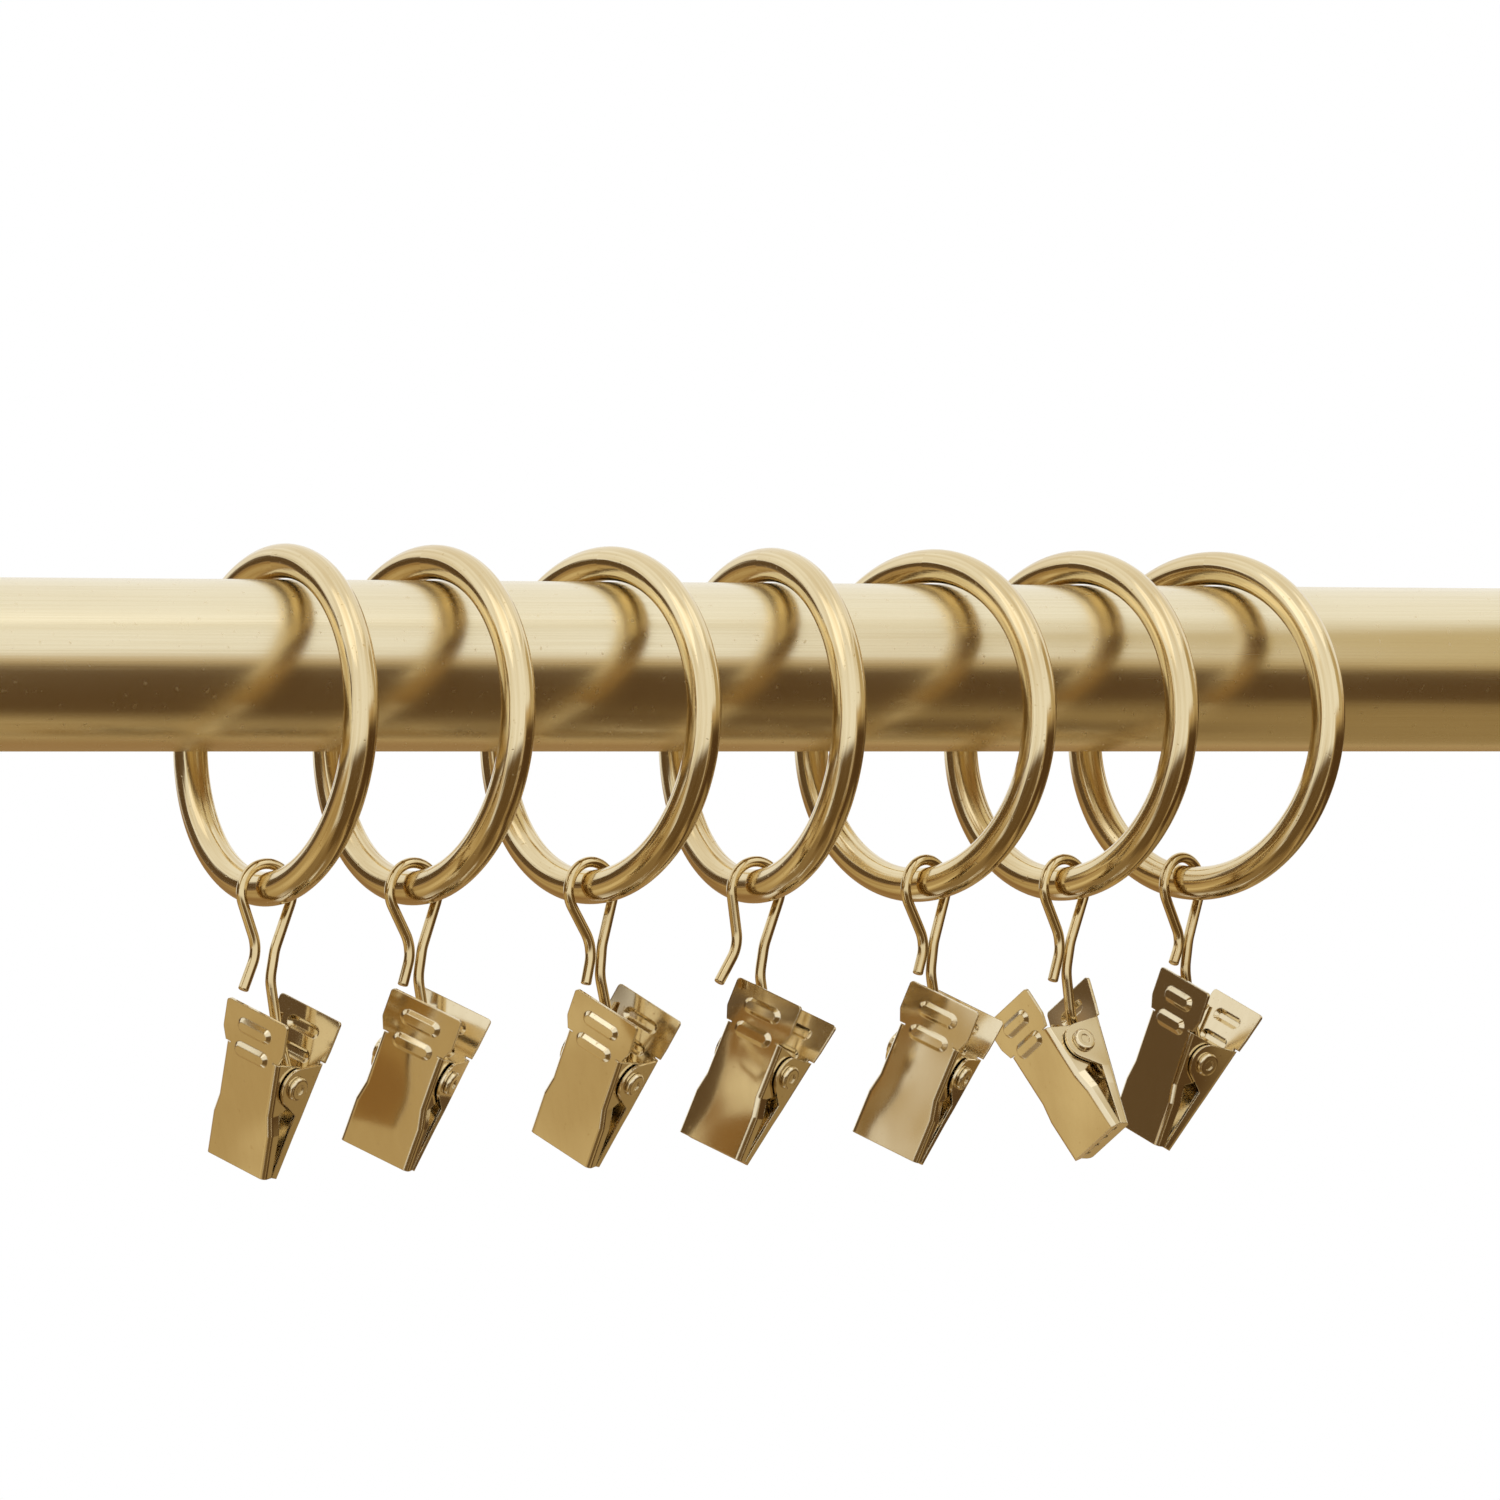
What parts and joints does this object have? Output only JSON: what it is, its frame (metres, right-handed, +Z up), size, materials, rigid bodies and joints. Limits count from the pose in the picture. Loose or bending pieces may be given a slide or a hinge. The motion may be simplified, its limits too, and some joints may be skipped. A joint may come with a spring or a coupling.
{
  "type": "extendable curtain rod",
  "caption": "Two-tube telescoping curtain rod in satin gold, carrying round wire rings that each hold a hook and a sprung clip.",
  "frame": {"origin": "on the rod's axis, at the middle of the row of rings", "axes": "+X along the rod towards the end that pulls out, +Z up, so the rings hang down in -Z"},
  "size_m": [0.41, 0.0464, 0.0813],
  "materials": {
    "rod_finish": "brushed satin",
    "ring_finish": "polished",
    "clip_finish": "bright plated",
    "spring_wire": "plated wire"
  },
  "bodies": {
    "rod": {"outer_tube": "rod_finish", "outer_plug": "rod_finish"},
    "inner": {"inner_tube": "rod_finish", "inner_plug": "rod_finish"},
    "ring_1": {"ring_1": "ring_finish"},
    "hook_1": {"hook_1": "clip_finish"},
    "clip_1": {"front_jaw_1": "clip_finish", "rivet_1": "clip_finish", "spring_1": "spring_wire"},
    "jaw_1": {"back_jaw_1": "clip_finish"},
    "ring_2": {"ring_2": "ring_finish"},
    "hook_2": {"hook_2": "clip_finish"},
    "clip_2": {"front_jaw_2": "clip_finish", "rivet_2": "clip_finish", "spring_2": "spring_wire"},
    "jaw_2": {"back_jaw_2": "clip_finish"},
    "ring_3": {"ring_3": "ring_finish"},
    "hook_3": {"hook_3": "clip_finish"},
    "clip_3": {"front_jaw_3": "clip_finish", "rivet_3": "clip_finish", "spring_3": "spring_wire"},
    "jaw_3": {"back_jaw_3": "clip_finish"},
    "ring_4": {"ring_4": "ring_finish"},
    "hook_4": {"hook_4": "clip_finish"},
    "clip_4": {"front_jaw_4": "clip_finish", "rivet_4": "clip_finish", "spring_4": "spring_wire"},
    "jaw_4": {"back_jaw_4": "clip_finish"},
    "ring_5": {"ring_5": "ring_finish"},
    "hook_5": {"hook_5": "clip_finish"},
    "clip_5": {"front_jaw_5": "clip_finish", "rivet_5": "clip_finish", "spring_5": "spring_wire"},
    "jaw_5": {"back_jaw_5": "clip_finish"},
    "ring_6": {"ring_6": "ring_finish"},
    "hook_6": {"hook_6": "clip_finish"},
    "clip_6": {"front_jaw_6": "clip_finish", "rivet_6": "clip_finish", "spring_6": "spring_wire"},
    "jaw_6": {"back_jaw_6": "clip_finish"},
    "ring_7": {"ring_7": "ring_finish"},
    "hook_7": {"hook_7": "clip_finish"},
    "clip_7": {"front_jaw_7": "clip_finish", "rivet_7": "clip_finish", "spring_7": "spring_wire"},
    "jaw_7": {"back_jaw_7": "clip_finish"}
  },
  "joints": [
    {"name": "rod_extend", "type": "slide", "parent": "rod", "child": "inner", "axis": [1, 0, 0], "range_m": [-0.018, 0.3]},
    {"name": "ring_1_slide", "type": "slide", "parent": "rod", "child": "ring_1", "axis": [1, 0, 0], "range_m": [-0.095, 0.006]},
    {"name": "hook_1_swing", "type": "hinge", "parent": "ring_1", "child": "hook_1", "pos_m": [-0.0795, -0.0002, -0.02904], "axis": [-0.1132, -0.9936, 0], "range_deg": [-15, 15]},
    {"name": "clip_1_swing", "type": "hinge", "parent": "hook_1", "child": "clip_1", "pos_m": [-0.07888, 0.00043, -0.05205], "axis": [-0.2172, 0.9047, 0.3665], "range_deg": [-18, 5]},
    {"name": "jaw_1_open", "type": "hinge", "parent": "clip_1", "child": "jaw_1", "pos_m": [-0.07888, 0.00043, -0.05205], "axis": [0.2172, -0.9047, -0.3665], "range_deg": [0, 12], "stiffness_Nm_per_rad": 0.06, "springref_deg": -22.92, "deforming": ["spring_1"]},
    {"name": "ring_2_slide", "type": "slide", "parent": "rod", "child": "ring_2", "axis": [1, 0, 0], "range_m": [-0.006, 0.006]},
    {"name": "hook_2_swing", "type": "hinge", "parent": "ring_2", "child": "hook_2", "pos_m": [-0.05565, -0.0001, -0.02902], "axis": [-0.0523, -0.9986, 0], "range_deg": [-15, 15]},
    {"name": "clip_2_swing", "type": "hinge", "parent": "hook_2", "child": "clip_2", "pos_m": [-0.05484, 0.00046, -0.05137], "axis": [-0.4687, 0.78, 0.4147], "range_deg": [-20, 8]},
    {"name": "jaw_2_open", "type": "hinge", "parent": "clip_2", "child": "jaw_2", "pos_m": [-0.05484, 0.00046, -0.05137], "axis": [0.4687, -0.78, -0.4147], "range_deg": [0, 12], "stiffness_Nm_per_rad": 0.06, "springref_deg": -22.92, "deforming": ["spring_2"]},
    {"name": "ring_3_slide", "type": "slide", "parent": "rod", "child": "ring_3", "axis": [1, 0, 0], "range_m": [-0.006, 0.006]},
    {"name": "hook_3_swing", "type": "hinge", "parent": "ring_3", "child": "hook_3", "pos_m": [-0.02664, -0.00021, -0.02902], "axis": [0.0175, -0.9998, 0], "range_deg": [-15, 15]},
    {"name": "clip_3_swing", "type": "hinge", "parent": "hook_3", "child": "clip_3", "pos_m": [-0.02409, 0.00049, -0.05147], "axis": [-0.3134, 0.8165, 0.4848], "range_deg": [-20, 5]},
    {"name": "jaw_3_open", "type": "hinge", "parent": "clip_3", "child": "jaw_3", "pos_m": [-0.02409, 0.00049, -0.05147], "axis": [0.3134, -0.8165, -0.4848], "range_deg": [0, 12], "stiffness_Nm_per_rad": 0.06, "springref_deg": -22.92, "deforming": ["spring_3"]},
    {"name": "ring_4_slide", "type": "slide", "parent": "rod", "child": "ring_4", "axis": [1, 0, 0], "range_m": [-0.006, 0.006]},
    {"name": "hook_4_swing", "type": "hinge", "parent": "ring_4", "child": "hook_4", "pos_m": [0.00066, -0.0004, -0.02906], "axis": [-0.1132, -0.9936, 0], "range_deg": [-15, 15]},
    {"name": "clip_4_swing", "type": "hinge", "parent": "hook_4", "child": "clip_4", "pos_m": [0.00142, 0.00019, -0.05146], "axis": [-0.2942, 0.8793, 0.3746], "range_deg": [-8, 5]},
    {"name": "jaw_4_open", "type": "hinge", "parent": "clip_4", "child": "jaw_4", "pos_m": [0.00142, 0.00019, -0.05146], "axis": [0.2942, -0.8793, -0.3746], "range_deg": [0, 12], "stiffness_Nm_per_rad": 0.06, "springref_deg": -22.92, "deforming": ["spring_4"]},
    {"name": "ring_5_slide", "type": "slide", "parent": "rod", "child": "ring_5", "axis": [1, 0, 0], "range_m": [-0.006, 0.006]},
    {"name": "hook_5_swing", "type": "hinge", "parent": "ring_5", "child": "hook_5", "pos_m": [0.02806, -0.00199, -0.02894], "axis": [0.1045, -0.9945, 0], "range_deg": [-15, 15]},
    {"name": "clip_5_swing", "type": "hinge", "parent": "hook_5", "child": "clip_5", "pos_m": [0.0293, -0.00119, -0.05167], "axis": [-0.4412, 0.7959, 0.4147], "range_deg": [-20, 5]},
    {"name": "jaw_5_open", "type": "hinge", "parent": "clip_5", "child": "jaw_5", "pos_m": [0.0293, -0.00119, -0.05167], "axis": [0.4412, -0.7959, -0.4147], "range_deg": [0, 12], "stiffness_Nm_per_rad": 0.06, "springref_deg": -22.92, "deforming": ["spring_5"]},
    {"name": "ring_6_slide", "type": "slide", "parent": "rod", "child": "ring_6", "axis": [1, 0, 0], "range_m": [-0.006, 0.006]},
    {"name": "hook_6_swing", "type": "hinge", "parent": "ring_6", "child": "hook_6", "pos_m": [0.05273, -0.00086, -0.02898], "axis": [0.0698, -0.9976, 0], "range_deg": [-15, 15]},
    {"name": "clip_6_swing", "type": "hinge", "parent": "hook_6", "child": "clip_6", "pos_m": [0.0532, -0.00013, -0.05157], "axis": [0.0766, 0.8755, -0.4772], "range_deg": [-12, 16]},
    {"name": "jaw_6_open", "type": "hinge", "parent": "clip_6", "child": "jaw_6", "pos_m": [0.0532, -0.00013, -0.05157], "axis": [-0.0766, -0.8755, 0.4772], "range_deg": [0, 12], "stiffness_Nm_per_rad": 0.06, "springref_deg": -22.92, "deforming": ["spring_6"]},
    {"name": "ring_7_slide", "type": "slide", "parent": "rod", "child": "ring_7", "axis": [1, 0, 0], "range_m": [-0.006, 0.095]},
    {"name": "hook_7_swing", "type": "hinge", "parent": "ring_7", "child": "hook_7", "pos_m": [0.07592, 0.00242, -0.02884], "axis": [0.1736, -0.9848, 0], "range_deg": [-15, 15]},
    {"name": "clip_7_swing", "type": "hinge", "parent": "hook_7", "child": "clip_7", "pos_m": [0.07691, 0.00334, -0.05076], "axis": [0.0164, 0.9395, 0.342], "range_deg": [-20, 3]},
    {"name": "jaw_7_open", "type": "hinge", "parent": "clip_7", "child": "jaw_7", "pos_m": [0.07691, 0.00334, -0.05076], "axis": [-0.0164, -0.9395, -0.342], "range_deg": [0, 12], "stiffness_Nm_per_rad": 0.06, "springref_deg": -22.92, "deforming": ["spring_7"]}
  ]
}
